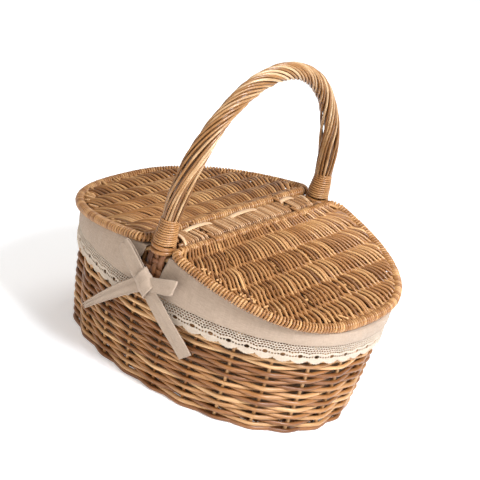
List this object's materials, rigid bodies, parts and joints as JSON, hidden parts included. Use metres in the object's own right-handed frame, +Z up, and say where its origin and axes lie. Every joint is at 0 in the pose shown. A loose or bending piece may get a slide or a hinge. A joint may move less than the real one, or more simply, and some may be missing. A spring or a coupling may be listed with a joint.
{
  "type": "picnic basket",
  "caption": "Oval willow picnic basket with two sloping hinged lids, a fixed twisted arch handle, and a linen liner folded over the rim with a lace edge and bows.",
  "frame": {"origin": "centre of the footprint, on the floor", "axes": "+Z up; X along the basket's long axis, towards the right lid; the handle arches over the Y axis, with its front foot at -Y"},
  "size_m": [0.4198, 0.3588, 0.4014],
  "materials": {
    "willow_body": "peeled buff willow rods, satin clear varnish",
    "willow_lid": "thin peeled buff willow rods, satin clear varnish",
    "willow_handle": "peeled buff willow rods, satin clear varnish",
    "cane": "split cane, satin",
    "linen": "unbleached plain-weave linen",
    "lace": "cream cotton crochet lace"
  },
  "bodies": {
    "basket": {"bar_stick_1": "willow_lid", "bar_stick_2": "willow_lid", "bar_stick_3": "willow_lid", "bar_weave": "willow_lid", "base_stick_1": "willow_body", "base_stick_2": "willow_body", "base_stick_3": "willow_body", "base_stick_4": "willow_body", "base_stick_5": "willow_body", "base_weave": "willow_body", "bow_back": "linen", "bow_front": "linen", "foot_wale": "willow_body", "handle_binding_back": "cane", "handle_binding_front": "cane", "handle_core": "willow_handle", "handle_foot_loop_back": "cane", "handle_foot_loop_front": "cane", "handle_foot_panel_back": "willow_body", "handle_foot_panel_front": "willow_body", "handle_strand_1": "willow_handle", "handle_strand_2": "willow_handle", "handle_strand_3": "willow_handle", "handle_strand_4": "willow_handle", "handle_strand_5": "willow_handle", "handle_strand_6": "willow_handle", "handle_strand_7": "willow_handle", "handle_strand_8": "willow_handle", "handle_strand_9": "willow_handle", "hinge_loop_left_back": "cane", "hinge_loop_left_front": "cane", "hinge_loop_right_back": "cane", "hinge_loop_right_front": "cane", "lace_left": "lace", "lace_right": "lace", "liner_bag": "linen", "liner_cuff_left": "linen", "liner_cuff_right": "linen", "stakes_and_border": "willow_body", "wall_weave": "willow_body"},
    "lid_right": {"lid_right_frame": "willow_lid", "lid_right_stick_1": "willow_lid", "lid_right_stick_2": "willow_lid", "lid_right_stick_3": "willow_lid", "lid_right_stick_4": "willow_lid", "lid_right_stick_5": "willow_lid", "lid_right_weave": "willow_lid"},
    "lid_left": {"lid_left_frame": "willow_lid", "lid_left_stick_1": "willow_lid", "lid_left_stick_2": "willow_lid", "lid_left_stick_3": "willow_lid", "lid_left_stick_4": "willow_lid", "lid_left_stick_5": "willow_lid", "lid_left_weave": "willow_lid"}
  },
  "joints": [
    {"name": "lid_right_hinge", "type": "hinge", "parent": "basket", "child": "lid_right", "pos_m": [0.022, 0, 0.192], "axis": [0, -1, 0], "range_deg": [0, 100]},
    {"name": "lid_left_hinge", "type": "hinge", "parent": "basket", "child": "lid_left", "pos_m": [-0.022, 0, 0.192], "axis": [0, 1, 0], "range_deg": [0, 100]}
  ]
}
